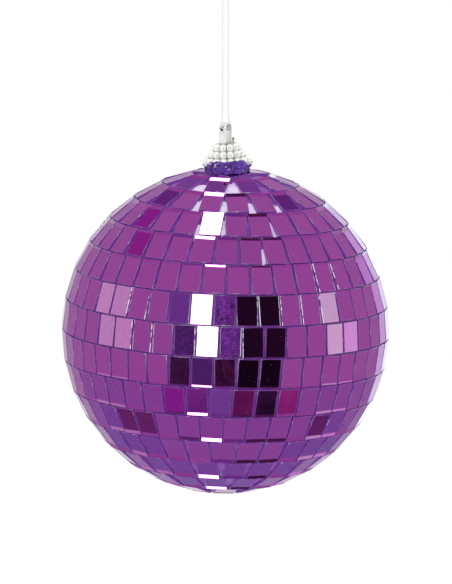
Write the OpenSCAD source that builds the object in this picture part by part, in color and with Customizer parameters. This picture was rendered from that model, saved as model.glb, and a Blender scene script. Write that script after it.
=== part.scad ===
// Hanging mirror ball ornament: a foam ball covered in rows of flat glass mirror tiles,
// with a beaded crown cap, a bent strip hanger and a thread loop.
// Millimetres, +Z up. The origin is the point in the thread loop that a hook holds.
// The rows and the cap are placed from the centre of the ball, straight below the origin.

/* [Ball] */
// Diameter of the foam core
core_d = 101.6; // [100:0.1:101.6]
// Distance from the hook to the centre of the ball
ball_drop = 112.5; // [112.5:0.5:116]
// Lean of the tile rows, to the right, in degrees
row_lean = 1.8; // [-3:0.1:3]

/* [Tiles] */
// Width of a mirror tile, along its row
tile_w = 6.8; // [5:0.1:6.8]
// Height of a mirror tile
tile_h = 9.9; // [7:0.1:9.9]
// Thickness of a mirror tile
tile_t = 1.5; // [1:0.1:1.8]
// Distance from the centre of the ball to the back of a tile
tile_seat = 52; // [52:0.1:53]
// Angle from one row to the next
row_pitch = 11; // [11:0.01:11.1]
// Gap between the four tiles at a pole
pole_gap = 0.4; // [0.3:0.05:0.4]

/* [Cap] */
// Radius of the beads
bead_r = 1.05; // [0.8:0.05:1.05]
// Height of one tier of the cap
tier_h = 2.2; // [2.2:0.1:2.4]
// Radius of the brim
brim_r = 8.4; // [8.1:0.1:9]
// Thickness of the brim and of the top plate
plate_t = 0.4; // [0.3:0.1:0.5]
// Lean of the cap, to the left, in degrees
cap_lean = 3; // [0:0.5:3]
// How far the cap sits to the right of the ball's centre
cap_offset = 0.6; // [0.3:0.1:0.7]

/* [Hanger] */
// Width of the strip
strip_w = 2.8; // [2.4:0.1:3]
// Thickness of the strip
strip_t = 0.5; // [0.4:0.05:0.5]
// Distance between the middles of the two legs
leg_span = 3; // [3:0.1:3.2]
// Direction from the front leg to the back leg, in degrees
hanger_turn = 48; // [0:1:90]

/* [Thread] */
// Diameter of the thread
thread_d = 0.7; // [0.4:0.05:0.7]

/* [Hidden] */

$fn = 64;
sliver = 0.01;
fit_gap = 0.02;

// Each row, from the top: how many tiles, and the angle of its first tile from the front.
rows = [
    [11, -14], [20, 5.2], [28, 3.4], [34, -0.8], [39, 4], [44, -0.9], [45, 1.5],
    [45, 0], [43, 7], [40, 4.5], [33, 0.5], [25, 7], [18, -3.5], [10, 5]
];
top_row_lat = 71;

// Glue over the foam, under the backs of the tiles
core_r = core_d / 2;
coat_r = tile_seat - 0.05;
tile_corner_r = norm([tile_seat + tile_t, tile_w / 2, tile_h / 2]);

// Heights from the centre of the ball
cap_z = 55.1;
arch_r = leg_span / 2 + strip_t / 2;
arch_z = 67.25;
eye_r = 1;
eye_high = 66.5;
eye_low = 65.7;
thread_r = thread_d / 2;
thread_z = eye_high + eye_r - thread_r - 0.03;
bend_r = 0.7;

// Tiers of the cap, from the bottom: how many beads, and the radius of their circle
tiers = [[18, 6.95], [14, 5.12], [11, 3.82]];
cap_top = plate_t + 3 * tier_h;
cap_wall = 0.35;

// Pin at the end of the bead chain, on the cap's top
pin_x = 2.35;
pin_y = -0.9;
pin_r = 0.25;
pin_h = 1.3;
pin_head_r = 0.45;

// Tabs of the hanger's legs, clenched under the cap's top
tab_w = 2;
tab_l = 1.5;
tab_t = 0.35;
tab_inner = 0.5;
foot_lift = 0.2;

// Glue collar: depth below the brim, height at its middle and at its edge inside the cap
collar_depth = 4;
collar_rise = 1.8;
collar_edge_rise = 1.2;
collar_play = 0.7;

// Height of the four cut tiles at the bottom pole
cut_tile_h = 8.5;

// Route of one strand from the eye to the knot: distance from the loop's middle, height
strand = [
    [2.2, -44.67], [2.15, -43.9], [1.8, -43.1], [1.5, -42.2], [1.42, -41], [1.4, -39], [1.4, -36],
    [1.4, -33], [1.4, -30], [1.4, -27], [1.4, -24], [1.4, -21], [1.4, -18], [1.4, -15],
    [1.4, -12], [1.4, -9], [1.4, -6], [1.4, -3], [1.4, -1], [1.15, 0.4], [0.8, 1.4],
    [0.42, 1.98]
];
strand_sides = 8;
knot_r = 1.3;
knot_z = 3.25;
tail_l = 5;
tail_lean = 14;

// ---- placing ----

module at_ball() {
    translate([0, 0, -ball_drop]) children();
}

module at_rows() {
    at_ball() rotate([0, row_lean, 0]) children();
}

module at_cap() {
    at_ball() translate([cap_offset, 0, cap_z]) rotate([0, -cap_lean, 0]) children();
}

module at_hanger() {
    at_ball() rotate([0, 0, hanger_turn]) children();
}

// ---- the ball ----

module foam_core() {
    color("whitesmoke") at_ball() sphere(r = core_r, $fn = 128);
}

module adhesive_coat() {
    color("slateblue") at_ball() difference() {
        sphere(r = coat_r, $fn = 128);
        sphere(r = core_r + fit_gap, $fn = 128);
    }
}

// A flat tile whose back touches the seat, facing the front
module tile(high = tile_h) {
    translate([-tile_w / 2, -tile_seat - tile_t, -high / 2]) cube([tile_w, tile_t, high]);
}

module tile_row(i) {
    count = rows[i][0];
    lat = top_row_lat - i * row_pitch;
    color("mediumorchid") at_rows()
        for (k = [0 : count - 1])
            rotate([0, 0, rows[i][1] + k * 360 / count]) rotate([-lat, 0, 0]) tile();
}

// Four tiles set round a pole like the sails of a windmill
module pole_tiles(high) {
    across = tile_w / 2 + pole_gap / 2;
    along = high / 2 + pole_gap / 2;
    out = norm([across, along]);
    turn = atan2(across, along);
    tilt = 90 - asin(out / tile_seat);
    for (k = [0 : 3])
        rotate([0, 0, k * 90 + 10]) rotate([-tilt, 0, 0]) rotate([0, 90 - turn, 0]) tile(high);
}

module pole_tiles_top() {
    color("mediumorchid") at_rows() pole_tiles(tile_h);
}

module pole_tiles_bottom() {
    color("mediumorchid") at_rows() rotate([180, 0, 0]) pole_tiles(cut_tile_h);
}

// ---- the cap ----

// Hot-melt glue between the ball and the cap, which also fills the cap's lower tier
module glue_collar() {
    inner_r = tiers[0][1] - bead_r - collar_play;
    color("indigo") difference() {
        at_cap() rotate_extrude() polygon([
            [0, -collar_depth], [9.2, -collar_depth], [9.2, -2.1], [8.9, -1.2], [8.2, -0.4],
            [7.6, -fit_gap], [inner_r, -fit_gap], [inner_r, collar_edge_rise], [0, collar_rise]
        ]);
        at_ball() sphere(r = tile_corner_r + fit_gap, $fn = 128);
    }
}

function tier_core_r(i) = tiers[i][1] - bead_r - fit_gap;

module cap_solid(wall) {
    for (i = [0 : 2])
        translate([0, 0, -sliver * sign(wall)])
            cylinder(r = tier_core_r(i) - wall, h = plate_t + (i + 1) * tier_h - 1.2 * wall);
}

module cap_body() {
    color("silver") difference() {
        at_cap() difference() {
            union() {
                cylinder(r = brim_r, h = plate_t);
                cap_solid(0);
            }
            cap_solid(cap_wall);
        }
        at_hanger() for (side = [-1, 1])
            translate([side * leg_span / 2, 0, cap_z + cap_top])
                cube([strip_t + 0.1, tab_w + 0.1, 4], center = true);
    }
}

// A bead is a short round column with a domed top
module bead() {
    cylinder(r = bead_r, h = tier_h - bead_r - sliver);
    translate([0, 0, tier_h - bead_r - sliver]) sphere(r = bead_r);
}

module bead_row(i) {
    count = tiers[i][0];
    color("silver") at_cap()
        for (k = [0 : count - 1])
            rotate([0, 0, (k + 0.5) * 360 / count - 90])
                translate([tiers[i][1], 0, plate_t + i * tier_h + sliver]) bead();
}

module bead_row_lower() { bead_row(0); }
module bead_row_middle() { bead_row(1); }
module bead_row_upper() { bead_row(2); }

// The pin that ends the bead chain, with a small round head
module bead_end_pin() {
    color("dimgray") at_cap() translate([pin_x, pin_y, cap_top + sliver]) {
        cylinder(r = pin_r, h = pin_h, $fn = 24);
        translate([0, 0, pin_h + 0.1]) sphere(r = pin_head_r, $fn = 24);
    }
}

// ---- the hanger ----

// A strip bent to an arch, with an eye through both legs and tabs clenched under the cap's top
module hanger_strip() {
    foot = cap_z + cap_top + foot_lift;
    tab_end = foot - tab_l;
    color("gainsboro") at_hanger() difference() {
        union() {
            translate([0, strip_w / 2, arch_z]) rotate([90, 0, 0]) difference() {
                cylinder(r = arch_r, h = strip_w);
                translate([0, 0, -1]) cylinder(r = arch_r - strip_t, h = strip_w + 2);
                translate([-arch_r - 1, -2 * arch_r, -1]) cube([2 * arch_r + 2, 2 * arch_r, strip_w + 2]);
            }
            for (side = [-1, 1]) {
                translate([side * leg_span / 2 - strip_t / 2, -strip_w / 2, foot])
                    cube([strip_t, strip_w, arch_z - foot]);
                translate([side * leg_span / 2 - strip_t / 2, -tab_w / 2, tab_end])
                    cube([strip_t, tab_w, foot - tab_end]);
                translate([side > 0 ? tab_inner : -arch_r, -tab_w / 2, tab_end])
                    cube([arch_r - tab_inner, tab_w, tab_t]);
            }
        }
        for (z = [eye_low, eye_high])
            translate([0, 0, z]) rotate([0, 90, 0]) cylinder(r = eye_r, h = 3 * leg_span, center = true);
        translate([0, 0, (eye_low + eye_high) / 2])
            cube([3 * leg_span, 2 * eye_r, eye_high - eye_low], center = true);
    }
}

// ---- the thread ----

// A tube swept along points that lie in the plane of the loop
function ring_at(path, i) =
    let (a = path[max(i - 1, 0)], b = path[min(i + 1, len(path) - 1)], d = (b - a) / norm(b - a))
    [for (k = [0 : strand_sides - 1])
        let (u = thread_r * cos(k * 360 / strand_sides), v = thread_r * sin(k * 360 / strand_sides))
        [path[i][0] + u * d[1], v, path[i][1] - u * d[0]]];

module tube(path) {
    n = len(path);
    m = strand_sides;
    points = [for (i = [0 : n - 1]) each ring_at(path, i)];
    walls = [for (i = [0 : n - 2], k = [0 : m - 1])
        [i * m + k, i * m + (k + 1) % m, (i + 1) * m + (k + 1) % m, (i + 1) * m + k]];
    ends = [[for (k = [m - 1 : -1 : 0]) k], [for (k = [0 : m - 1]) (n - 1) * m + k]];
    polyhedron(points = points, faces = concat(walls, ends));
}

module thread_back() {
    color("lightsteelblue") rotate([0, 0, hanger_turn]) tube(strand);
}

module thread_front() {
    color("lightsteelblue") rotate([0, 0, hanger_turn + 180]) tube(strand);
}

// The thread's bend through the eye
module thread_bight() {
    flat = strand[0][0] - bend_r;
    color("lightsteelblue") at_hanger() {
        translate([0, 0, thread_z]) rotate([0, 90, 0]) cylinder(r = thread_r, h = 2 * flat, center = true);
        for (side = [0, 1])
            mirror([side, 0, 0]) translate([flat, 0, thread_z + bend_r]) rotate([90, 0, 0])
                rotate([0, 0, -90]) rotate_extrude(angle = 90) translate([bend_r, 0]) circle(r = thread_r);
    }
}

// The knot that closes the loop, with the two cut tails above it
module thread_knot() {
    color("lightsteelblue") rotate([0, 0, hanger_turn]) {
        translate([0, 0, knot_z]) sphere(r = knot_r);
        for (side = [-1, 1])
            translate([0, 0, knot_z]) rotate([0, side * tail_lean, 0])
                cylinder(r = thread_r, h = knot_r + tail_l);
    }
}

thread_knot();
thread_front();
thread_back();
thread_bight();
hanger_strip();
cap_body();
bead_row_upper();
bead_row_middle();
bead_row_lower();
bead_end_pin();
glue_collar();
foam_core();
adhesive_coat();
pole_tiles_top();
tile_row(0);  // tile_row_01
tile_row(1);  // tile_row_02
tile_row(2);  // tile_row_03
tile_row(3);  // tile_row_04
tile_row(4);  // tile_row_05
tile_row(5);  // tile_row_06
tile_row(6);  // tile_row_07
tile_row(7);  // tile_row_08
tile_row(8);  // tile_row_09
tile_row(9);  // tile_row_10
tile_row(10);  // tile_row_11
tile_row(11);  // tile_row_12
tile_row(12);  // tile_row_13
tile_row(13);  // tile_row_14
pole_tiles_bottom();
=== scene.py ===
import math
import random

import bmesh
import bpy
from mathutils import Matrix, Vector, noise


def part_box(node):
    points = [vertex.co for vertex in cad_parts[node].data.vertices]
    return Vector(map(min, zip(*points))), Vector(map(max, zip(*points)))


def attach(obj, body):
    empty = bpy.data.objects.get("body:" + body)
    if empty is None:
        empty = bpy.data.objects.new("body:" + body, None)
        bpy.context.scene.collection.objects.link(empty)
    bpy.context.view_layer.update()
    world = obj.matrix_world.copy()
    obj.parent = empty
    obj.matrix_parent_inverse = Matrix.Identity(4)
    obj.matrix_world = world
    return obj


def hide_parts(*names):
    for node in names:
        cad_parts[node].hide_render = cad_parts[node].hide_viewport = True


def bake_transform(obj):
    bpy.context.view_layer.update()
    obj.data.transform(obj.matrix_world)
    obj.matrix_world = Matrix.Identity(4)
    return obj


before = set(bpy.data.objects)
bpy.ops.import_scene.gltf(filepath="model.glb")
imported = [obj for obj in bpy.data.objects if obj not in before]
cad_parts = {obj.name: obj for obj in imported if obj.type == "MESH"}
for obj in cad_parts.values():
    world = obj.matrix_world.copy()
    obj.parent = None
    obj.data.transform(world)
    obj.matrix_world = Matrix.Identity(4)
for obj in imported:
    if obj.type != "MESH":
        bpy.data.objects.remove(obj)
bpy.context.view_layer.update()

mm = 0.001
scene = bpy.context.scene
coreLow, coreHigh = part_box("foam_core")
ballCentre = (Vector(coreLow) + Vector(coreHigh)) / 2


# Camera

cameraSetup = {"distance": 2.5, "elevation": 9, "lens": 469, "sensor": 36, "aimRight": 0.16, "aimUp": 12.48}


def viewDirection(azimuth, height):
    # From the ball, measured from the line to the camera, right and up, in degrees
    turn, rise = math.radians(azimuth), math.radians(height)
    ray = Vector((math.sin(turn) * math.cos(rise), -math.cos(turn) * math.cos(rise), math.sin(rise)))
    return Matrix.Rotation(math.radians(-cameraSetup["elevation"]), 3, "X") @ ray


def setCamera(setup):
    aim = ballCentre + Vector((setup["aimRight"] * mm, 0, 0)) + viewDirection(0, 90) * setup["aimUp"] * mm
    lens = bpy.data.cameras.new("studioCamera")
    lens.lens = setup["lens"]
    lens.sensor_width = setup["sensor"]
    lens.clip_start = 0.05
    lens.clip_end = 60
    camera = bpy.data.objects.new("studioCamera", lens)
    camera.location = aim + viewDirection(0, 0) * setup["distance"]
    camera.rotation_euler = (math.radians(90 - setup["elevation"]), 0, 0)
    scene.collection.objects.link(camera)
    scene.camera = camera


setCamera(cameraSetup)
print("camera set")


# Materials share these few steps

def newMaterial(name, colour, roughness, metallic=0.0):
    material = bpy.data.materials.new(name)
    material.use_nodes = True
    shader = material.node_tree.nodes["Principled BSDF"]
    shader.inputs["Base Color"].default_value = (*colour, 1)
    shader.inputs["Roughness"].default_value = roughness
    shader.inputs["Metallic"].default_value = metallic
    return material, shader


def addNode(material, kind, **settings):
    node = material.node_tree.nodes.new(kind)
    for name, value in settings.items():
        if name in node.inputs:
            node.inputs[name].default_value = value
        else:
            setattr(node, name, value)
    return node


def wire(material, source, target):
    material.node_tree.links.new(source, target)


def objectNoise(material, scale, detail=2.0, stretch=(1, 1, 1)):
    place = addNode(material, "ShaderNodeTexCoord")
    turn = addNode(material, "ShaderNodeMapping", Scale=stretch)
    grain = addNode(material, "ShaderNodeTexNoise", Scale=scale, Detail=detail)
    wire(material, place.outputs["Object"], turn.inputs["Vector"])
    wire(material, turn.outputs["Vector"], grain.inputs["Vector"])
    return grain.outputs["Fac"]


def spread(material, value, low, high, fromLow=0.3, fromHigh=0.7):
    ramp = addNode(material, "ShaderNodeMapRange")
    ramp.inputs["From Min"].default_value = fromLow
    ramp.inputs["From Max"].default_value = fromHigh
    ramp.inputs["To Min"].default_value = low
    ramp.inputs["To Max"].default_value = high
    wire(material, value, ramp.inputs["Value"])
    return ramp.outputs["Result"]


def colourBetween(material, value, first, second, low=0.3, high=0.7):
    ramp = addNode(material, "ShaderNodeValToRGB")
    ramp.color_ramp.elements[0].color = (*first, 1)
    ramp.color_ramp.elements[0].position = low
    ramp.color_ramp.elements[1].color = (*second, 1)
    ramp.color_ramp.elements[1].position = high
    wire(material, value, ramp.inputs["Fac"])
    return ramp.outputs["Color"]


def addBump(material, shader, height, distance):
    bump = addNode(material, "ShaderNodeBump", Distance=distance)
    wire(material, height, bump.inputs["Height"])
    wire(material, bump.outputs["Normal"], shader.inputs["Normal"])


# Pieces share these

def finishPiece(name, form, materials, body=None, node=None):
    mesh = bpy.data.meshes.new(name)
    for face in form.faces:
        face.smooth = True
    form.to_mesh(mesh)
    form.free()
    for material in materials:
        mesh.materials.append(material)
    piece = bpy.data.objects.new(name, mesh)
    scene.collection.objects.link(piece)
    if body:
        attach(piece, body)
    if node:
        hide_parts(node)
    return piece


def spinProfile(form, profile, steps):
    # A profile of (radius, height) pairs in millimetres, turned round the Z axis
    verts = [form.verts.new((radius * mm, 0, height * mm)) for radius, height in profile]
    edges = [form.edges.new(pair) for pair in zip(verts, verts[1:])]
    bmesh.ops.spin(form, geom=verts + edges, cent=(0, 0, 0), axis=(0, 0, 1), angle=2 * math.pi,
                   steps=steps, use_merge=True)
    bmesh.ops.remove_doubles(form, verts=form.verts, dist=0.001 * mm)
    bmesh.ops.recalc_face_normals(form, faces=form.faces)


def creaseSharp(piece, degrees):
    # Edges that turn more than this stay crisp
    form = bmesh.new()
    form.from_mesh(piece.data)
    for edge in form.edges:
        edge.smooth = edge.calc_face_angle(0) < math.radians(degrees)
    form.to_mesh(piece.data)
    form.free()


# Thread: two plies wound round each other

threadSetup = {
    "turn": 48, "plyRadius": 0.185, "plyOffset": 0.165, "pitch": 1.9, "step": 0.24, "sides": 6,
    "bendRadius": 0.7, "bendMiddle": 1.5, "bendHeight": -44.68, "bendStep": 15,
}
threadFinish = {
    "tinselLight": (0.74, 0.74, 0.68), "tinselDark": (0.5, 0.53, 0.58), "tinselGrain": 2600,
    "nylonLight": (0.95, 0.96, 0.97), "nylonDark": (0.82, 0.86, 0.9), "nylonRoughness": 0.3, "nylonGrain": 3800,
}

# One strand from the eye to the knot: distance from the loop's middle, height, in millimetres
strandRoute = [
    (2.2, -44.67), (2.15, -43.9), (1.8, -43.1), (1.5, -42.2), (1.42, -41), (1.4, -39), (1.4, -36),
    (1.4, -33), (1.4, -30), (1.4, -27), (1.4, -24), (1.4, -21), (1.4, -18), (1.4, -15),
    (1.4, -12), (1.4, -9), (1.4, -6), (1.4, -3), (1.4, -1), (1.15, 0.4), (0.8, 1.4),
    (0.42, 1.98),
]


def makeThreadMaterials():
    finish = threadFinish
    tinsel, shader = newMaterial("silverTinsel", finish["tinselLight"], 0.22, 1.0)
    glint = objectNoise(tinsel, finish["tinselGrain"], detail=1)
    wire(tinsel, spread(tinsel, glint, 0.12, 0.5), shader.inputs["Roughness"])
    wire(tinsel, colourBetween(tinsel, glint, finish["tinselDark"], finish["tinselLight"]),
         shader.inputs["Base Color"])
    nylon, shader = newMaterial("clearNylon", finish["nylonLight"], finish["nylonRoughness"])
    fibre = objectNoise(nylon, finish["nylonGrain"])
    wire(nylon, colourBetween(nylon, fibre, finish["nylonDark"], finish["nylonLight"]), shader.inputs["Base Color"])
    return [tinsel, nylon]


def evenPoints(points, step):
    # Points along a route, no further apart than the step
    spots = [points[0].copy()]
    for start, end in zip(points, points[1:]):
        parts = max(1, round((end - start).length / step))
        spots += [start.lerp(end, n / parts) for n in range(1, parts + 1)]
    return spots


def windPly(form, spots, side, phase, index, setup):
    # Extrudes a ring along the route, set off from it and wound round it
    travelled, ring, edges, last = 0, [], [], Matrix.Identity(4)
    for n, spot in enumerate(spots):
        ahead = (spots[min(n + 1, len(spots) - 1)] - spots[max(n - 1, 0)]).normalized()
        across = (side - ahead * side.dot(ahead)).normalized()
        other = ahead.cross(across)
        travelled += (spot - spots[n - 1]).length if n else 0
        wind = phase + 2 * math.pi * travelled / (setup["pitch"] * mm)
        place = Matrix((across, other, ahead)).transposed().to_4x4()
        place.translation = spot + (across * math.cos(wind) + other * math.sin(wind)) * setup["plyOffset"] * mm
        if n == 0:
            ring = bmesh.ops.create_circle(form, cap_ends=True, segments=setup["sides"],
                                           radius=setup["plyRadius"] * mm)["verts"]
            edges = list({edge for vert in ring for edge in vert.link_edges})
        else:
            made = bmesh.ops.extrude_edge_only(form, edges=edges)["geom"]
            ring = [part for part in made if isinstance(part, bmesh.types.BMVert)]
            edges = [part for part in made if isinstance(part, bmesh.types.BMEdge)]
        bmesh.ops.transform(form, matrix=place @ last.inverted(), verts=ring)
        last = place
    bmesh.ops.contextual_create(form, geom=edges)
    for face in form.faces:
        if not face.tag:
            face.material_index = index
            face.tag = True


def windThread(form, points, setup, phase=0.0):
    turn = math.radians(setup["turn"])
    side = Vector((-math.sin(turn), math.cos(turn), 0))
    spots = evenPoints(points, setup["step"] * mm)
    for index in (0, 1):
        windPly(form, spots, side, phase + index * math.pi, index, setup)
    bmesh.ops.recalc_face_normals(form, faces=form.faces)


def inLoopPlane(away, height, turn):
    return Vector((away * math.cos(turn), away * math.sin(turn), height)) * mm


threadMaterials = makeThreadMaterials()
turn = math.radians(threadSetup["turn"])
strands = []
for name, node, facing in (("threadBack", "thread_back", 1), ("threadFront", "thread_front", -1)):
    route = [inLoopPlane(facing * away, height, turn) for away, height in strandRoute]
    form = bmesh.new()
    windThread(form, route, threadSetup)
    strand = finishPiece(name, form, threadMaterials, node=node)
    strands.append((strand, route))


# The bend of the thread through the eye of the hanger

def makeThreadBend(setup):
    route = []
    for side in (1, -1):
        quarter = []
        for degrees in range(0, 91, setup["bendStep"]):
            angle = math.radians(degrees)
            away = setup["bendMiddle"] + setup["bendRadius"] * math.cos(angle)
            height = setup["bendHeight"] - setup["bendRadius"] * math.sin(angle)
            quarter.append(inLoopPlane(side * away, height, turn))
        route += quarter if side == 1 else quarter[::-1]
    form = bmesh.new()
    windThread(form, route, setup)
    return finishPiece("threadBend", form, threadMaterials, "thread", "thread_bight")


threadBend = makeThreadBend(threadSetup)


# Overhand knot that closes the loop, with its two cut tails

knotSetup = {
    "middle": 3.25, "size": 0.33, "flat": 0.62, "points": 60, "step": 0.2,
    "tail": 6.1, "tailPoints": 8, "lean": 14, "droop": 0.125, "waver": 0.9,
}


def makeKnot(setup):
    middle = Vector((0, 0, setup["middle"] * mm))
    form = bmesh.new()
    bow = []
    for step in range(setup["points"] + 1):
        t = 2 * math.pi * step / setup["points"]
        away = setup["size"] * (math.sin(t) + 2 * math.sin(2 * t))
        height = setup["size"] * (math.cos(t) - 2 * math.cos(2 * t))
        deep = -setup["flat"] * math.sin(3 * t)
        bow.append(middle + inLoopPlane(away, height, turn)
                   + Vector((-math.sin(turn), math.cos(turn), 0)) * deep * mm)
    windThread(form, bow, dict(threadSetup, step=setup["step"]))
    for side in (1, -1):
        lean = math.radians(setup["lean"])
        tail = []
        for step in range(setup["tailPoints"] + 1):
            run = setup["tail"] * step / setup["tailPoints"]
            bend = setup["droop"] * math.sin(run * setup["waver"]) * side
            tail.append(middle + inLoopPlane(side * run * math.sin(lean) + bend, run * math.cos(lean), turn))
        windThread(form, tail, threadSetup, phase=side)
    return finishPiece("threadKnot", form, threadMaterials, "knot", "thread_knot")


threadKnot = makeKnot(knotSetup)

for strand, route in strands:
    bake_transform(strand)
print("thread made")


# Mirror tiles

mirrorFinish = {
    "tint": (0.25, 0.03, 0.25), "worn": (0.225, 0.028, 0.24), "grazing": (0.6, 0.45, 0.65),
    "coat": 0.5, "coatRoughness": 0.015, "wave": 0.000012, "waveScale": 210,
    "bandRoughness": 0.03, "bandMetal": 0.8, "hazeScale": 700,
    "blotchScale": 420, "blotchPart": 0.35, "smearScale": 900, "polished": 0.005, "smeared": 0.018,
    "dust": (0.3, 0.22, 0.4), "dustScale": 2300, "dustFrom": 0.745, "dustFull": 0.785,
}
edgeFinish = {
    "light": (0.34, 0.1, 0.52), "dark": (0.16, 0.05, 0.34), "roughness": 0.14, "grain": 1500, "bump": 0.00008,
}
backingShadowFinish = {"light": (0.05, 0.02, 0.08), "dark": (0.012, 0.004, 0.018), "roughness": 0.35, "grain": 1100}
rimFinish = {
    "light": (0.3, 0.06, 0.42), "dark": (0.12, 0.02, 0.22), "roughness": 0.12, "ior": 1.4, "grain": 1300,
    "bump": 0.00006,
}
# Painted glints: near-white rim colour at the listed joints
glintFinish = {"tint": (0.96, 0.92, 0.98), "scale": 1250, "low": 0.43, "high": 0.49}

tileSetup = {
    "width": 6.8, "height": 9.9, "thick": 1.5, "seat": 52, "bevel": 0.17, "backBand": 0.22, "lean": 1.8,
    "topLatitude": 71, "pitch": 11, "tilt": 0.55, "twist": 0.7, "slide": 0.07, "poleGap": 0.4,
    "poleTurn": 10, "cutHeight": 8.5, "seed": 31,
}

# A tile's material slots
mirrorSlot, edgeSlot, backSlot, rimSlot, cornerSlot = range(5)

# The clear glass over the mirror shows a second, turned reflection along its edge
cornerSetup = {"studioHeight": 9, "glass": 1.5, "index": 1.52, "least": 0.3, "most": 2, "sideRise": 40}

# Joints between tiles where white is painted on the rims as glints of the strip light: row, then angles from the
# front
glintJoints = {5: (35, 41, 47), 6: (-36, -28, 12, 20, 28.4, 36.5), 7: (-35, -27, -11.6, 6)}

# Each row from the top: how many tiles, and the angle of its first tile from the front
tileRows = [
    (11, -14), (20, 5.2), (28, 3.4), (34, -0.8), (39, 4), (44, -0.9), (45, 1.5),
    (45, 0), (43, 7), (40, 4.5), (33, 0.5), (25, 7), (18, -3.5), (10, 5),
]


def paintedGlintMask(material):
    # Painted glints: white where the rim at a listed joint meets a coarse grain
    glintAt = addNode(material, "ShaderNodeAttribute", attribute_name="tilePaintedGlints")
    near = spread(material, glintAt.outputs["Fac"], 0, 1, 0.9, 0.96)
    dashed = spread(material, objectNoise(material, glintFinish["scale"], detail=2, stretch=(1, 1, 0.4)), 0, 1,
                    glintFinish["low"], glintFinish["high"])
    mask = addNode(material, "ShaderNodeMath", operation="MULTIPLY")
    wire(material, near, mask.inputs[0])
    wire(material, dashed, mask.inputs[1])
    return mask.outputs["Value"]


def mixColour(material, mask, first, second):
    # The second colour where the mask is white; inputs 6 and 7 and output 2 are the node's colours
    mix = addNode(material, "ShaderNodeMix", data_type="RGBA")
    wire(material, mask, mix.inputs["Factor"])
    wire(material, first, mix.inputs[6])
    mix.inputs[7].default_value = (*second, 1)
    return mix.outputs[2]


def makeMirror(finish):
    mirror, shader = newMaterial("purpleMirror", finish["tint"], finish["smeared"], 1.0)
    shader.inputs["Specular Tint"].default_value = (*finish["grazing"], 1)
    shader.inputs["Coat Weight"].default_value = finish["coat"]
    shader.inputs["Coat Roughness"].default_value = finish["coatRoughness"]
    shade = addNode(mirror, "ShaderNodeAttribute", attribute_name="tileShade")
    blotch = objectNoise(mirror, finish["blotchScale"], detail=3)
    both = addNode(mirror, "ShaderNodeMath", operation="MULTIPLY_ADD")
    wire(mirror, blotch, both.inputs[0])
    both.inputs[1].default_value = finish["blotchPart"]
    wire(mirror, shade.outputs["Fac"], both.inputs[2])
    tone = colourBetween(mirror, both.outputs["Value"], finish["worn"], finish["tint"], 0.1, 0.75)
    specks = spread(mirror, objectNoise(mirror, finish["dustScale"], detail=1), 0, 0.8,
                    finish["dustFrom"], finish["dustFull"])
    dusty = mixColour(mirror, specks, tone, finish["dust"])
    wire(mirror, dusty, shader.inputs["Base Color"])
    smear = objectNoise(mirror, finish["smearScale"], detail=4, stretch=(1, 1, 0.35))
    wire(mirror, spread(mirror, smear, finish["polished"], finish["smeared"], 0.4, 0.75), shader.inputs["Roughness"])
    wire(mirror, spread(mirror, specks, 1, 0, 0, 1), shader.inputs["Metallic"])
    wave = objectNoise(mirror, finish["waveScale"], detail=1)
    addBump(mirror, shader, wave, finish["wave"])
    return mirror


def makeTileEdge(finish):
    edge, shader = newMaterial("tileEdge", finish["light"], finish["roughness"])
    flaws = objectNoise(edge, finish["grain"], detail=3)
    wire(edge, colourBetween(edge, flaws, finish["dark"], finish["light"]), shader.inputs["Base Color"])
    addBump(edge, shader, flaws, finish["bump"])
    return edge


def makeBackingWithShadowLine(finish):
    # Dark back band: the mirror's backing, and a painted shadow line where the tile meets the glue
    back, shader = newMaterial("tileBackingShadowLine", finish["light"], finish["roughness"])
    flakes = objectNoise(back, finish["grain"])
    wire(back, colourBetween(back, flakes, finish["dark"], finish["light"]), shader.inputs["Base Color"])
    return back


def makeRim(finish):
    rim, shader = newMaterial("tileRim", finish["light"], finish["roughness"])
    shader.inputs["IOR"].default_value = finish["ior"]
    nicks = objectNoise(rim, finish["grain"], detail=3)
    violet = colourBetween(rim, nicks, finish["dark"], finish["light"])
    # Painted glints: white mixed into the rim colour at the listed joints
    wire(rim, mixColour(rim, paintedGlintMask(rim), violet, glintFinish["tint"]), shader.inputs["Base Color"])
    addBump(rim, shader, nicks, finish["bump"])
    return rim


def makeCornerBand(finish):
    corner, shader = newMaterial("mirrorCorner", finish["tint"], finish["bandRoughness"], finish["bandMetal"])
    haze = objectNoise(corner, finish["hazeScale"])
    wire(corner, colourBetween(corner, haze, finish["worn"], finish["tint"]), shader.inputs["Base Color"])
    return corner


def cornerWidth(latitude, setup):
    # How far in from the edge the second reflection reaches, and on which side: 1 is the tile's top
    slant = math.radians(abs(latitude - setup["studioHeight"]))
    wide = 2 * setup["glass"] * math.tan(math.asin(math.sin(slant) / setup["index"]))
    return min(wide, setup["most"]), 1 if latitude > setup["studioHeight"] else -1


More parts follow.
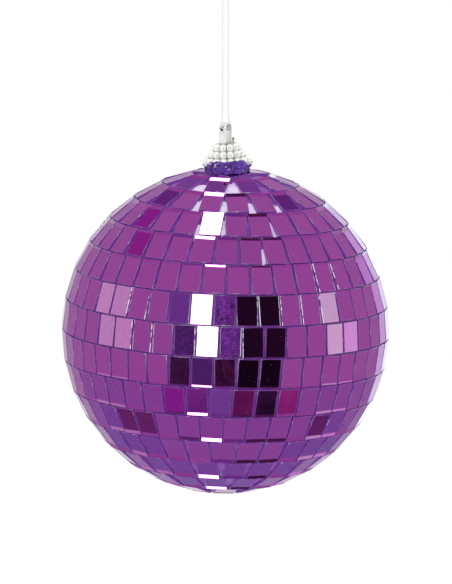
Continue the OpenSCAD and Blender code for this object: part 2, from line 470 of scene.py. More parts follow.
def makeTile(setup, height, latitude):
    # One tile facing the front, its back on the seat: face and rounded rim, edges, and a dark back band that is the
    # backing and a painted shadow line
    form = bmesh.new()
    bmesh.ops.create_cube(form, size=1)
    bmesh.ops.scale(form, vec=(setup["width"] * mm, setup["thick"] * mm, height * mm), verts=form.verts)
    bmesh.ops.translate(form, vec=(0, -(setup["seat"] + setup["thick"] / 2) * mm, 0), verts=form.verts)
    front = -(setup["seat"] + setup["thick"]) * mm
    band = -(setup["seat"] + setup["backBand"]) * mm
    bmesh.ops.bisect_plane(form, geom=form.verts[:] + form.edges[:] + form.faces[:],
                           plane_co=(0, band, 0), plane_no=(0, 1, 0))
    for face in form.faces:
        deep = face.calc_center_median().y
        face.material_index = backSlot if deep > band else edgeSlot if deep > front + 0.01 * mm else mirrorSlot
    wide, side = cornerWidth(latitude, cornerSetup)
    if wide > cornerSetup["least"]:
        cut = side * (height / 2 - setup["bevel"] - wide) * mm
        face = next(face for face in form.faces if face.material_index == mirrorSlot)
        bmesh.ops.bisect_plane(form, geom=[face, *face.edges, *face.verts], plane_co=(0, 0, cut), plane_no=(0, 0, 1))
        for face in form.faces:
            if face.material_index == mirrorSlot and side * (face.calc_center_median().z - cut) > 0:
                face.material_index = cornerSlot
    rim = [edge for edge in form.edges
           if all(vert.co.y < front + 0.01 * mm for vert in edge.verts) and edge.calc_face_angle(0) > 1]
    rounded = bmesh.ops.bevel(form, geom=rim, offset=setup["bevel"] * mm, offset_type="OFFSET", segments=2,
                              profile=0.5, affect="EDGES", material=-1)
    for face in rounded["faces"]:
        face.material_index = rimSlot
    tile = bpy.data.meshes.new("tile")
    form.to_mesh(tile)
    form.free()
    return tile


def setTiles(form, tile, spots, chance, setup, joints=(), angles=None):
    # Copies of one tile, each a little out of true as if laid by hand
    shade = form.verts.layers.float.get("tileShade") or form.verts.layers.float.new("tileShade")
    glints = form.loops.layers.float.get("tilePaintedGlints") or form.loops.layers.float.new("tilePaintedGlints")
    seat = setup["seat"] * mm
    for spot, angle in zip(spots, angles or [0] * len(spots)):
        tilt, lean = (chance.gauss(0, setup["tilt"]) for _ in range(2))
        nudge = turned(tilt, chance.gauss(0, setup["twist"]), lean)
        slide = Vector((chance.uniform(-1, 1), 0, chance.uniform(-1, 1))) * setup["slide"] * mm
        own = Matrix.Translation((0, -seat, 0)) @ Matrix.Translation(slide) @ nudge @ Matrix.Translation((0, seat, 0))
        old, done = len(form.verts), len(form.faces)
        form.from_mesh(tile)
        form.verts.ensure_lookup_table()
        form.faces.ensure_lookup_table()
        fresh = form.verts[old:]
        value = chance.random()
        for vert in fresh:
            vert[shade] = value
        # Side rims at the listed joints are marked for the painted glints
        sideRims = [face for face in form.faces[done:]
                    if face.material_index == rimSlot and abs(face.normal.x) > 0.3]
        for corner in (corner for face in sideRims for corner in face.loops):
            edge = angle + math.copysign(setup["halfTurn"], corner.vert.co.x)
            if any(abs((edge - joint + 180) % 360 - 180) < setup["halfTurn"] / 2 for joint in joints):
                corner[glints] = 1
        bmesh.ops.transform(form, matrix=spot @ own, verts=fresh)


def turned(aboutX, aboutY, aboutZ):
    return rotation(aboutX, "X") @ rotation(aboutY, "Y") @ rotation(aboutZ, "Z")


def rimNormal(vert):
    # A rim is round from the flat face in front to the flat edge at the side
    flat = [face.normal for face in vert.link_faces if face.material_index != rimSlot]
    return sum(flat or [face.normal for face in vert.link_faces], Vector()).normalized()


def tileNormals(form, setup):
    normals = []
    for face in form.faces:
        if face.material_index == rimSlot:
            normals += [rimNormal(vert) for vert in face.verts]
        elif face.material_index == cornerSlot:
            level = Vector((face.normal.x, face.normal.y, 0)).normalized()
            high = math.degrees(math.asin(face.normal.z)) > setup["studioHeight"]
            rise = math.radians(setup["studioHeight"] + high * setup["sideRise"] * level.x ** 2)
            normals += [level * math.cos(rise) + Vector((0, 0, math.sin(rise)))] * len(face.verts)
        else:
            normals += [face.normal.copy()] * len(face.verts)
    return normals


def finishTiles(name, form, node):
    form.normal_update()
    normals = tileNormals(form, cornerSetup)
    piece = finishPiece(name, form, mirrorMaterials, "ball", node)
    piece.data.normals_split_custom_set(normals)
    sparkling.objects.link(piece)
    return piece


def rotation(degrees, axis):
    return Matrix.Rotation(math.radians(degrees), 4, axis)


mirrorMaterials = [makeMirror(mirrorFinish), makeTileEdge(edgeFinish), makeBackingWithShadowLine(backingShadowFinish), makeRim(rimFinish),
                   makeCornerBand(mirrorFinish)]
chance = random.Random(tileSetup["seed"])
leaning = Matrix.Translation(ballCentre) @ rotation(tileSetup["lean"], "Y")

# The soft boxes light only the pieces in here
sparkling = bpy.data.collections.new("sparkling")

for number, (count, first) in enumerate(tileRows, 1):
    latitude = tileSetup["topLatitude"] - (number - 1) * tileSetup["pitch"]
    tile = makeTile(tileSetup, tileSetup["height"], latitude)
    angles = [first + k * 360 / count for k in range(count)]
    spots = [leaning @ rotation(angle, "Z") @ rotation(-latitude, "X") for angle in angles]
    form = bmesh.new()
    setTiles(form, tile, spots, chance, dict(tileSetup, halfTurn=180 / count), glintJoints.get(number, ()), angles)
    finishTiles(f"tileRow{number:02d}", form, f"tile_row_{number:02d}")
    bpy.data.meshes.remove(tile)


def poleSpots(height, base, setup):
    # Four tiles round a pole, like the sails of a windmill
    across = setup["width"] / 2 + setup["poleGap"] / 2
    along = height / 2 + setup["poleGap"] / 2
    out = math.hypot(across, along)
    swing = math.degrees(math.atan2(across, along))
    tilt = 90 - math.degrees(math.asin(out / setup["seat"]))
    return [base @ rotation(k * 90 + setup["poleTurn"], "Z") @ rotation(-tilt, "X") @ rotation(90 - swing, "Y")
            for k in range(4)]


calm = dict(tileSetup, tilt=0.2, twist=0.2, slide=0.03, halfTurn=45)
for name, node, height, base in (
    ("poleTilesTop", "pole_tiles_top", tileSetup["height"], leaning),
    ("poleTilesBottom", "pole_tiles_bottom", tileSetup["cutHeight"], leaning @ rotation(180, "X")),
):
    tile = makeTile(tileSetup, height, cornerSetup["studioHeight"])
    form = bmesh.new()
    setTiles(form, tile, poleSpots(height, base, tileSetup), chance, calm)
    finishTiles(name, form, node)
    bpy.data.meshes.remove(tile)
print("tiles set")


# Glue between the tiles, over the foam

glueSetup = {"radius": 52.82, "lump": 0.24, "lumpScale": 420, "fine": 0.07, "fineScale": 1300, "cuts": 7}
glueFinish = {"light": (0.3, 0.06, 0.42), "dark": (0.14, 0.02, 0.26), "roughness": 0.2, "ior": 1.38,
              "grain": 1700, "bump": 0.00012}


def makeGlueMaterial(name, finish):
    glue, shader = newMaterial(name, finish["light"], finish["roughness"])
    shader.inputs["IOR"].default_value = finish["ior"]
    thick = objectNoise(glue, 330, detail=3)
    wire(glue, colourBetween(glue, thick, finish["dark"], finish["light"]), shader.inputs["Base Color"])
    wire(glue, spread(glue, objectNoise(glue, 900), finish["roughness"] - 0.12, finish["roughness"] + 0.1),
         shader.inputs["Roughness"])
    addBump(glue, shader, objectNoise(glue, finish["grain"], detail=3), finish["bump"])
    return glue


# Painted highlight: this pale colour stands for the top soft box's highlight on the glue
glueHighlightFinish = {
    "light": (0.86, 0.76, 0.93), "dark": (0.72, 0.55, 0.85), "roughness": 0.25, "grain": 500,
    "ragged": 0.3, "raggedScale": 500,
}

# Painted highlight: pale glue in the wedges between the upper tiles, where the top soft box shines on it:
# angle from the front, latitude and reach
glueHighlightSpots = [
    (4, 69, 5), (-29, 67.5, 4), (-22, 57, 3.4), (-4, 58, 3.4), (14, 57, 3.4), (32, 56, 3), (-16, 45, 3.2),
    (-3, 47.5, 3.4), (24, 47, 3.6), (15.5, 35.5, 3.2),
]


def inGlueHighlight(place):
    flat = (leaning.inverted() @ place).normalized()
    for around, latitude, reach in glueHighlightSpots:
        turn, rise = math.radians(around), math.radians(latitude)
        spot = Vector((math.sin(turn) * math.cos(rise), -math.cos(turn) * math.cos(rise), math.sin(rise)))
        ragged = 1 + glueHighlightFinish["ragged"] * noise.noise(place * glueHighlightFinish["raggedScale"])
        if math.degrees(flat.angle(spot)) < reach * ragged:
            return True
    return False


def makeGlueSkin(setup):
    form = bmesh.new()
    bmesh.ops.create_icosphere(form, subdivisions=setup["cuts"], radius=setup["radius"] * mm)
    for vert in form.verts:
        lump = noise.noise(vert.co * setup["lumpScale"]) * setup["lump"]
        fine = noise.noise(vert.co * setup["fineScale"]) * setup["fine"]
        vert.co *= 1 + (lump + fine) / setup["radius"]
    bmesh.ops.translate(form, vec=ballCentre, verts=form.verts)
    # Faces in the listed spots take the pale painted highlight
    for face in form.faces:
        face.material_index = int(inGlueHighlight(face.calc_center_median()))
    pale, shader = newMaterial("paintedGlueHighlight", glueHighlightFinish["light"], glueHighlightFinish["roughness"])
    sheen = objectNoise(pale, glueHighlightFinish["grain"], detail=3)
    wire(pale, colourBetween(pale, sheen, glueHighlightFinish["dark"], glueHighlightFinish["light"]), shader.inputs["Base Color"])
    return finishPiece("glueSkin", form, [glueMaterial, pale], "ball", "adhesive_coat")


glueMaterial = makeGlueMaterial("violetGlue", glueFinish)
makeGlueSkin(glueSetup)


# Blob of glue between the cap and the ball

collarSetup = {
    "profile": [(0, -3.4), (5.5, -3.4), (6.6, -3.3), (7.4, -3.1), (8.1, -2.7), (8.5, -2.2), (8.6, -1.7), (8.55, -1.2),
                (8.5, -0.8), (8.55, -0.4), (8.6, 0), (8.55, 0.4), (8.4, 0.75), (8.1, 0.9), (7.8, 0.6), (7.4, -0.1),
                (5.9, -0.1), (3, -0.1), (0, -0.1)],
    "steps": 170, "lump": 0.9, "lumpScale": 380, "fine": 0.95, "fineScale": 1000, "waist": 1.5, "swell": 0.25,
    "frontFrom": 0.45, "frontOver": 0.3, "plain": 5.8, "lip": -0.6, "lipTall": 1.5,
    "rise": 1.35, "climb": 0.25, "leastClimb": 0.1, "wander": 0.4, "wanderScale": 4.96,
    "foot": 0.5, "footScale": 2.3, "footShift": 9,
}
collarFinish = {
    "light": (0.15, 0.05, 0.46), "dark": (0.06, 0.006, 0.17), "roughness": 0.2, "ior": 1.5, "grain": 1300,
    "bump": 0.0009, "paintedGlint": (0.66, 0.52, 0.9), "paintedGlintScale": 1050, "paintedGlintFrom": 0.63, "paintedGlintFull": 0.7,
}

# The cap's sizes and its place, which the blob of glue shares
capSetup = {
    "offset": 0.6, "height": 55.1, "lean": 3, "brim": 8.4, "plate": 0.4, "tier": 2.2, "wall": 0.35,
    "tiers": [(18, 6.95), (14, 5.12), (11, 3.82)], "bead": 1.05, "dome": 0.95, "gap": 0.02, "clear": 0.01,
    "bevel": 0.09, "steps": 96, "beadSteps": 16, "crease": 40,
}
onCap = (Matrix.Translation(ballCentre + Vector((capSetup["offset"], 0, capSetup["height"])) * mm)
         @ rotation(-capSetup["lean"], "Y"))


def makeGlueWithPaintedGlints(finish):
    deep = makeGlueMaterial("deepGlue", finish)
    shader = deep.node_tree.nodes["Principled BSDF"]
    plain = shader.inputs["Base Color"].links[0].from_socket
    # Painted glints: lilac specks mixed into the glue colour, standing for the collar's sparkle
    paintedGlints = spread(deep, objectNoise(deep, finish["paintedGlintScale"], detail=2, stretch=(1, 1, 0.6)), 0, 1,
                    finish["paintedGlintFrom"], finish["paintedGlintFull"])
    wire(deep, mixColour(deep, paintedGlints, plain, finish["paintedGlint"]), shader.inputs["Base Color"])
    return deep


def makeCollar(setup):
    # Lumps all round, drawn in at the sides, and in front it climbs over the brim onto the beads
    form = bmesh.new()
    spinProfile(form, setup["profile"], setup["steps"])
    for vert in form.verts:
        side = Vector((vert.co.x, vert.co.y, 0))
        if side.length < setup["plain"] * mm:
            continue
        out = side.normalized()
        front = min(1, max(0, (-out.y - setup["frontFrom"]) / setup["frontOver"]))
        lump = noise.noise(vert.co * setup["lumpScale"]) * setup["lump"]
        fine = noise.noise(vert.co * setup["fineScale"]) * setup["fine"]
        vert.co += out * (lump + fine + setup["swell"] * front - setup["waist"] * abs(out.x) ** 5) * mm
        if vert.co.z > setup["lip"] * mm:
            climb = setup["climb"] + front + noise.noise(out * setup["wanderScale"]) * setup["wander"]
            above = (vert.co.z / mm - setup["lip"]) / setup["lipTall"]
            vert.co.z = (max(setup["leastClimb"], climb) * above * (setup["rise"] - setup["lip"]) + setup["lip"]) * mm
        else:
            sway = noise.noise(out * setup["footScale"] + Vector((setup["footShift"], 0, 0)))
            vert.co.z += sway * setup["foot"] * mm
    bmesh.ops.transform(form, matrix=onCap, verts=form.verts)
    return finishPiece("glueCollar", form, [makeGlueWithPaintedGlints(collarFinish)], "ball", "glue_collar")


makeCollar(collarSetup)
print("glue laid")


# Cap with its three tiers

capFinish = {"light": (0.6, 0.59, 0.52), "dark": (0.42, 0.41, 0.35), "roughness": 0.3, "grain": 700, "metallic": 1.0}


def makeMetal(name, finish):
    roughness = finish["roughness"]
    metal, shader = newMaterial(name, finish["light"], roughness, finish["metallic"])
    grain = objectNoise(metal, finish["grain"], detail=3)
    wire(metal, colourBetween(metal, grain, finish["dark"], finish["light"]), shader.inputs["Base Color"])
    wire(metal, spread(metal, objectNoise(metal, finish["grain"] * 2.4), roughness * 0.85, roughness * 1.25),
         shader.inputs["Roughness"])
    addBump(metal, shader, grain, 0.000004)
    return metal


def makeCap(setup):
    radii = [radius - setup["bead"] - setup["gap"] for _, radius in setup["tiers"]]
    heights = [setup["plate"] + (n + 1) * setup["tier"] for n in range(3)]
    outer = [(0, heights[2])]
    inner = []
    floor = setup["plate"]
    for n in (2, 1, 0):
        outer += [(radii[n], heights[n]), (radii[n], heights[n - 1] if n else floor)]
    outer += [(setup["brim"], floor), (setup["brim"], 0)]
    for n in (0, 1, 2):
        inner += [(radii[n] - setup["wall"], heights[n - 1] - setup["wall"] if n else 0),
                  (radii[n] - setup["wall"], heights[n] - setup["wall"])]
    inner += [(0, heights[2] - setup["wall"])]
    form = bmesh.new()
    spinProfile(form, outer + inner, setup["steps"])
    sharp = [edge for edge in form.edges if edge.calc_face_angle(0) > math.radians(60)]
    bmesh.ops.bevel(form, geom=sharp, offset=setup["bevel"] * mm, offset_type="OFFSET", segments=2,
                    profile=0.5, affect="EDGES", material=-1)
    bmesh.ops.transform(form, matrix=onCap, verts=form.verts)
    piece = finishPiece("crownCap", form, [makeMetal("capMetal", capFinish)], "ball", "cap_body")
    creaseSharp(piece, setup["crease"])
    return piece


makeCap(capSetup)


# Beads: short round columns with domed tops

beadFinish = {
    "light": (0.98, 0.975, 0.95), "dark": (0.93, 0.92, 0.88), "roughness": 0.34, "grain": 900, "metallic": 0.45,
}


def beadProfile(radius, tall, dome):
    straight = tall - dome
    crown = [(radius * math.cos(math.radians(a)), straight + dome * math.sin(math.radians(a)))
             for a in (0, 22, 44, 66, 90)]
    return [(0, 0), (radius * 0.9, 0), (radius * 0.99, 0.12), (radius * 0.96, 0.35), *crown]


def makeBeadRow(name, node, number, metal, setup):
    count, circle = setup["tiers"][number]
    touching = circle * math.sin(math.pi / count) - setup["gap"]
    bead = bmesh.new()
    spinProfile(bead, beadProfile(touching, setup["tier"] - setup["clear"], setup["dome"]), setup["beadSteps"])
    single = bpy.data.meshes.new("bead")
    bead.to_mesh(single)
    bead.free()
    floor = setup["plate"] + number * setup["tier"] + setup["clear"]
    form = bmesh.new()
    for k in range(count):
        spot = (onCap @ rotation((k + 0.5) * 360 / count - 90, "Z")
                @ Matrix.Translation(Vector((circle, 0, floor)) * mm))
        old = len(form.verts)
        form.from_mesh(single)
        form.verts.ensure_lookup_table()
        bmesh.ops.transform(form, matrix=spot, verts=form.verts[old:])
    return finishPiece(name, form, [metal], "ball", node)


beadMetal = makeMetal("beadSilver", beadFinish)
for number, (name, node) in enumerate((("beadsLower", "bead_row_lower"), ("beadsMiddle", "bead_row_middle"),
                                       ("beadsUpper", "bead_row_upper"))):
    makeBeadRow(name, node, number, beadMetal, capSetup)


# Pin that ends the bead chain

pinSetup = {"x": 2.35, "y": -0.9, "stem": 0.25, "height": 1.4, "head": 0.45, "steps": 20}
pinFinish = {"light": (0.5, 0.5, 0.46), "dark": (0.3, 0.3, 0.27), "roughness": 0.3, "grain": 700, "metallic": 1.0}


def makePin(setup):
    head = [(setup["head"] * math.sin(math.radians(a)), setup["height"] - setup["head"] * math.cos(math.radians(a)))
            for a in (34, 55, 75, 95, 115, 135, 155, 180)]
    form = bmesh.new()
    stem = [(0, 0), (setup["stem"] * 1.3, 0), (setup["stem"], 0.15), (setup["stem"], 0.8)]
    spinProfile(form, stem + head, setup["steps"])
    top = capSetup["plate"] + 3 * capSetup["tier"] + capSetup["clear"]
    place = onCap @ Matrix.Translation(Vector((setup["x"], setup["y"], top)) * mm)
    bmesh.ops.transform(form, matrix=place, verts=form.verts)
    return finishPiece("endPin", form, [makeMetal("pinMetal", pinFinish)], "ball", "bead_end_pin")


makePin(pinSetup)
print("cap made")


# Hanger: a strip bent to an arch, with an eye through both legs

hangerSetup = {
    "turn": 48, "width": 2.8, "thick": 0.5, "span": 3, "foot": 62.3, "archHeight": 67.25, "tabEnd": 60.8,
    "eye": 0.7, "eyeHeight": 66.9, "eyeSteps": 32, "eyeCut": 9, "burr": 0.12, "burrLength": 0.9, "bevel": 0.07,
    "crease": 40, "greySpot": (-1.25, -1.95, 65.5), "greySpotReach": 0.75,
}
hangerFinish = {
    "light": (0.9, 0.9, 0.88), "dark": (0.76, 0.76, 0.72), "roughness": 0.3, "grain": 260, "metallic": 0.55,
    "greySpot": (0.42, 0.42, 0.39),
}
# Painted shade: this dark colour stands for the shade inside the eye
eyeShadeFinish = {"light": (0.16, 0.16, 0.15), "dark": (0.07, 0.07, 0.06), "roughness": 0.4, "grain": 700, "metallic": 1.0}


def stripPath(setup):
    # Up one leg, round the arch and down the other: distance from the middle, height
    middle = (setup["span"] + setup["thick"]) / 2
    path = [(-middle, setup["foot"]), (-middle, setup["archHeight"])]
    path += [(-middle * math.cos(math.radians(a)), setup["archHeight"] + middle * math.sin(math.radians(a)))
             for a in range(15, 180, 15)]
    path += [(middle, setup["archHeight"]), (middle, setup["foot"])]
    return path


def bendStrip(setup, path):
    # The strip, with a tab below each foot
    half = setup["width"] / 2
    form = bmesh.new()
    verts = [form.verts.new((away * mm, -half * mm, height * mm)) for away, height in path]
    edges = [form.edges.new(pair) for pair in zip(verts, verts[1:])]
    made = bmesh.ops.extrude_edge_only(form, edges=edges)["geom"]
    bmesh.ops.translate(form, vec=(0, 2 * half * mm, 0), verts=[v for v in made if isinstance(v, bmesh.types.BMVert)])
    feet = [edge for edge in form.edges
            if all(abs(vert.co.z - setup["foot"] * mm) < 0.01 * mm for vert in edge.verts)]
    for foot in feet:
        made = bmesh.ops.extrude_edge_only(form, edges=[foot])["geom"]
        tab = [v for v in made if isinstance(v, bmesh.types.BMVert)]
        for vert in tab:
            vert.co.z = setup["tabEnd"] * mm
    bmesh.ops.recalc_face_normals(form, faces=form.faces)
    bmesh.ops.solidify(form, geom=form.faces[:], thickness=setup["thick"] * mm)
    bmesh.ops.recalc_face_normals(form, faces=form.faces)
    return form


def makeHanger(setup):
    form = bendStrip(setup, stripPath(setup))
    metal = makeMetal("hangerMetal", hangerFinish)
    addGreySpot(metal, ballCentre + Vector(setup["greySpot"]) * mm, setup["greySpotReach"] * mm)
    hanger = finishPiece("hangerStrip", form, [metal])
    cutEye(hanger, setup)
    addBurrs(hanger, setup)
    place = Matrix.Translation(ballCentre) @ rotation(setup["turn"], "Z")
    hanger.data.transform(place)
    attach(hanger, "ball")
    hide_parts("hanger_strip")
    return hanger


def addGreySpot(metal, spot, reach):
    # A greyer spot painted on the strip
    shader = metal.node_tree.nodes["Principled BSDF"]
    plain = shader.inputs["Base Color"].links[0].from_socket
    place = addNode(metal, "ShaderNodeTexCoord")
    away = addNode(metal, "ShaderNodeVectorMath", operation="DISTANCE")
    wire(metal, place.outputs["Object"], away.inputs[0])
    away.inputs[1].default_value = spot
    near = spread(metal, away.outputs["Value"], 0.9, 0, reach * 0.4, reach)
    wire(metal, mixColour(metal, near, plain, hangerFinish["greySpot"]), shader.inputs["Base Color"])


def addBurrs(hanger, setup):
    # The punch has drawn a short sleeve through each eye, towards the other leg; one is painted dark as the shade
    # inside the eye
    inner, outer = setup["eye"], setup["eye"] + setup["burr"]
    far = setup["span"] / 2 + setup["thick"] * 0.5
    near = setup["span"] / 2 - setup["burrLength"]
    form = bmesh.new()
    form.from_mesh(hanger.data)
    for face in form.faces:
        face.material_index = 0
    for side in (1, -1):
        sleeve = bmesh.new()
        ring = [(inner, far), (outer, far), (outer, near), (inner, near), (inner, far)]
        spinProfile(sleeve, ring, setup["eyeSteps"])
        bmesh.ops.rotate(sleeve, cent=(0, 0, 0), matrix=Matrix.Rotation(side * math.pi / 2, 3, "Y"),
                         verts=sleeve.verts)
        bmesh.ops.translate(sleeve, vec=(0, 0, setup["eyeHeight"] * mm), verts=sleeve.verts)
        # One sleeve takes the dark painted shade
        for face in sleeve.faces:
            face.material_index = int(side < 0)
            face.smooth = True
        loose = bpy.data.meshes.new("sleeve")
        sleeve.to_mesh(loose)
        sleeve.free()
        form.from_mesh(loose)
        bpy.data.meshes.remove(loose)
    form.to_mesh(hanger.data)
    form.free()
    hanger.data.materials.append(makeMetal("eyePaintedShade", eyeShadeFinish))


def cutEye(hanger, setup):
    form = bmesh.new()
    bmesh.ops.create_cone(form, cap_ends=True, segments=setup["eyeSteps"], radius1=setup["eye"] * mm,
                          radius2=setup["eye"] * mm, depth=setup["eyeCut"] * mm)
    bmesh.ops.rotate(form, cent=(0, 0, 0), matrix=Matrix.Rotation(math.pi / 2, 3, "Y"), verts=form.verts)
    bmesh.ops.translate(form, vec=(0, 0, setup["eyeHeight"] * mm), verts=form.verts)
    mesh = bpy.data.meshes.new("eyeCutter")
    form.to_mesh(mesh)
    form.free()
    cutter = bpy.data.objects.new("eyeCutter", mesh)
    scene.collection.objects.link(cutter)
    cut = hanger.modifiers.new("eye", "BOOLEAN")
    cut.object = cutter
    cut.operation = "DIFFERENCE"
    cut.solver = "EXACT"
    rounded = hanger.modifiers.new("softEdges", "BEVEL")
    rounded.width = setup["bevel"] * mm
    rounded.segments = 2
    rounded.limit_method = "ANGLE"
    rounded.angle_limit = math.radians(50)
    bpy.context.view_layer.update()
    whole = bpy.data.meshes.new_from_object(hanger.evaluated_get(bpy.context.evaluated_depsgraph_get()))
    hanger.modifiers.clear()
    hanger.data = whole
    bpy.data.objects.remove(cutter)
    creaseSharp(hanger, setup["crease"])


makeHanger(hangerSetup)


# Foam core, inside the glue

foamFinish = {"light": (0.9, 0.9, 0.88), "dark": (0.7, 0.7, 0.68), "roughness": 0.85, "cells": 420.0, "bump": 0.0003}


def finishFoam(finish):
    foam, shader = newMaterial("whiteFoam", finish["light"], finish["roughness"])
    cells = addNode(foam, "ShaderNodeTexVoronoi", Scale=finish["cells"])
    place = addNode(foam, "ShaderNodeTexCoord")
    wire(foam, place.outputs["Object"], cells.inputs["Vector"])
    wire(foam, colourBetween(foam, cells.outputs["Distance"], finish["light"], finish["dark"]),
         shader.inputs["Base Color"])
    addBump(foam, shader, cells.outputs["Distance"], finish["bump"])
    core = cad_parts["foam_core"]
    core.data.materials.clear()
    core.data.materials.append(foam)


finishFoam(foamFinish)
print("hanger and core finished")


# Studio: pale floor, white surroundings, soft boxes and black flags out of view

studioSetup = {"floor": -0.9, "floorSize": 26, "floorShift": 2, "paper": 0.97, "world": 1.06,
               "cardDistance": 2.0, "cloudFrom": 0.36, "cloudFull": 0.64}

# Low cards stand nearer, above the floor: down to this height, this part of the distance
cardReach = [(-20, 1), (-35, 0.6), (-60, 0.4), (-110, 0.37), (-180, 0.33)]

# Soft boxes, for the mirrors alone: place right of and above the line to the camera,
# width and height, all in degrees, then the light
softBoxes = {
    "stripBox": (-13.5, 3, 15, 40, (26, 58, 26)),
    "topBox": (-25, 81, 13, 12, (26, 58, 26)),
    "sideBoxLeft": (-88, 8, 34, 32, (0.72, 2.5, 0.66)),
    "sideBoxRight": (83, 4, 17, 34, (1.1, 5.0, 1.05)),
    "sideBoxRightLow": (100, -4, 17, 15, (1.2, 3.2, 1.3)),
    "backBoxRight": (152, 5, 36, 30, (0.6, 1.0, 0.8)),
}

# Cards and flags: the same, then a second light and a grain where the card is cloudy like the end of a room
studioCards = {
    "rightFlag": (28, 2, 33, 40, (0.05, 0.04, 0.05)),
    "cameraShade": (2.5, 3, 17, 40, (0.03, 0.02, 0.08), (0.85, 0.9, 1.45), (230, 2)),
    "leftShadeHigh": (-32, 13, 16, 18, (0.34, 0.4, 0.66), (0.62, 0.74, 1.05), (900, 1)),
    "leftShadeLow": (-32, -7, 16, 22, (0.12, 0.12, 0.2), (0.36, 0.42, 0.66), (620, 0.4)),
    "lowFlagRight": (27, -29, 33, 18, (0.025, 0.02, 0.025)),
    "lowFlagMiddle": (0, -29, 16, 18, (0.06, 0.04, 0.05), (0.2, 0.12, 0.18), (260, 0.5)),
    "lowShade": (-18, -29, 17, 18, (0.14, 0.14, 0.24), (0.36, 0.4, 0.66), (500, 3)),
    "lowFlagLeft": (-34, -28, 13, 18, (0.06, 0.05, 0.07), (0.2, 0.17, 0.22), (420, 2)),
    "kneeMagenta": (-50, -48, 15, 17, (0.76, 0.22, 0.83)),
    "kneeViolet": (-28, -51, 14, 17, (0.3, 0.2, 0.5), (0.7, 0.34, 0.8), (50, 1)),
    "kneeBlue": (-5, -51, 14, 17, (0.57, 0.75, 0.98)),
    "kneeRed": (19, -52, 14, 17, (0.28, 0.1, 0.22), (0.5, 0.14, 0.32), (60, 2)),
    "kneeDark": (45, -52, 15, 17, (0.03, 0.035, 0.04), (0.17, 0.12, 0.2), (45, 1)),
    "kneeCrimson": (65, -47, 11, 17, (0.62, 0.1, 0.4), (0.85, 0.3, 0.6), (60, 1)),
    "backShade": (180, 54, 26, 18, (0.6, 0.5, 0.88)),
    "backFlagLeft": (-151, 49, 9, 12, (0.42, 0.25, 0.61)),
    "backFlagRight": (145, 51, 9, 12, (0.38, 0.24, 0.58)),
    "highMagenta": (-98, 45, 11, 11, (0.8, 0.2, 0.76)),
    "highMagentaBack": (-125, 52, 10, 10, (0.8, 0.18, 0.8)),
    "lowMaroon": (-107, -46, 20, 14, (0.42, 0.24, 0.42)),
    "lowMaroonRight": (118, -43, 9, 11, (0.38, 0.22, 0.42)),
    "floorTone": (0, -99, 125, 125, (0.84, 0.87, 1.02)),
    "floorBack": (0, -126, 100, 40, (0.62, 0.72, 1.0)),
}


def makeFloor(setup):
    form = bmesh.new()
    bmesh.ops.create_grid(form, x_segments=2, y_segments=2, size=setup["floorSize"] / 2)
    bmesh.ops.translate(form, vec=(0, setup["floorShift"], setup["floor"]), verts=form.verts)
    mesh = bpy.data.meshes.new("studioFloor")
    form.to_mesh(mesh)
    form.free()
    paper, shader = newMaterial("paleFloor", [setup["paper"]] * 3, 0.9)
    clear = addNode(paper, "ShaderNodeBsdfTransparent")
    sides = addNode(paper, "ShaderNodeMixShader")
    facing = addNode(paper, "ShaderNodeNewGeometry")
    wire(paper, facing.outputs["Backfacing"], sides.inputs["Fac"])
    wire(paper, shader.outputs["BSDF"], sides.inputs[1])
    wire(paper, clear.outputs["BSDF"], sides.inputs[2])
    wire(paper, sides.outputs["Shader"], paper.node_tree.nodes["Material Output"].inputs["Surface"])
    mesh.materials.append(paper)
    floor = bpy.data.objects.new("studioFloor", mesh)
    scene.collection.objects.link(floor)


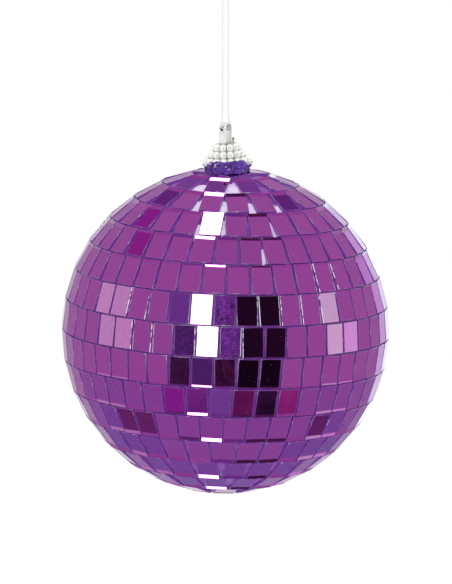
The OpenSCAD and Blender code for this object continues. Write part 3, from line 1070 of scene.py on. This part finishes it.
def makeCard(name, spot, light, distance, cloud=None, grain=(1, 1)):
    azimuth, height, width, tall = spot
    form = bmesh.new()
    bmesh.ops.create_grid(form, x_segments=1, y_segments=1, size=0.5)
    across, up = (2 * distance * math.tan(math.radians(angle / 2)) for angle in (width, tall))
    bmesh.ops.scale(form, vec=(across, up, 1), verts=form.verts)
    mesh = bpy.data.meshes.new(name)
    form.to_mesh(mesh)
    form.free()
    glow = bpy.data.materials.new(name)
    glow.use_nodes = True
    nodes = glow.node_tree.nodes
    nodes.remove(nodes["Principled BSDF"])
    lamp = addNode(glow, "ShaderNodeEmission", Color=(*light, 1), Strength=1.0)
    wire(glow, lamp.outputs["Emission"], nodes["Material Output"].inputs["Surface"])
    if cloud:
        patches = objectNoise(glow, grain[0], detail=3, stretch=(1, grain[1], 1))
        wire(glow, colourBetween(glow, patches, light, cloud, studioSetup["cloudFrom"], studioSetup["cloudFull"]),
             lamp.inputs["Color"])
    mesh.materials.append(glow)
    card = bpy.data.objects.new(name, mesh)
    away = viewDirection(azimuth, height)
    card.location = ballCentre + away * distance
    card.rotation_euler = away.to_track_quat("Z", "Y").to_euler()
    card.visible_camera = False
    card.visible_diffuse = False
    card.visible_transmission = False
    card.visible_shadow = False
    scene.collection.objects.link(card)
    return card


def makeSoftBox(name, spot, light, distance):
    # It adds its light to what is behind it, and only the mirrors see it
    box = makeCard(name, spot, light, distance)
    glow = box.data.materials[0]
    nodes = glow.node_tree.nodes
    clear = addNode(glow, "ShaderNodeBsdfTransparent")
    both = addNode(glow, "ShaderNodeAddShader")
    wire(glow, nodes["Emission"].outputs["Emission"], both.inputs[0])
    wire(glow, clear.outputs["BSDF"], both.inputs[1])
    wire(glow, both.outputs["Shader"], nodes["Material Output"].inputs["Surface"])
    box.light_linking.receiver_collection = sparkling


def lightWorld(strength):
    world = bpy.data.worlds.new("studioWhite")
    world.use_nodes = True
    world.node_tree.nodes["Background"].inputs["Color"].default_value = (1, 1, 1, 1)
    world.node_tree.nodes["Background"].inputs["Strength"].default_value = strength
    scene.world = world
    scene.view_settings.view_transform = "Standard"


makeFloor(studioSetup)
for name, (*spot, light) in softBoxes.items():
    makeSoftBox(name, spot, light, studioSetup["cardDistance"])
for name, (azimuth, height, width, tall, light, *cloudy) in studioCards.items():
    nearer = next(part for lowest, part in cardReach if height > lowest)
    makeCard(name, (azimuth, height, width, tall), light, studioSetup["cardDistance"] * nearer, *cloudy)
lightWorld(studioSetup["world"])
print("studio lit")
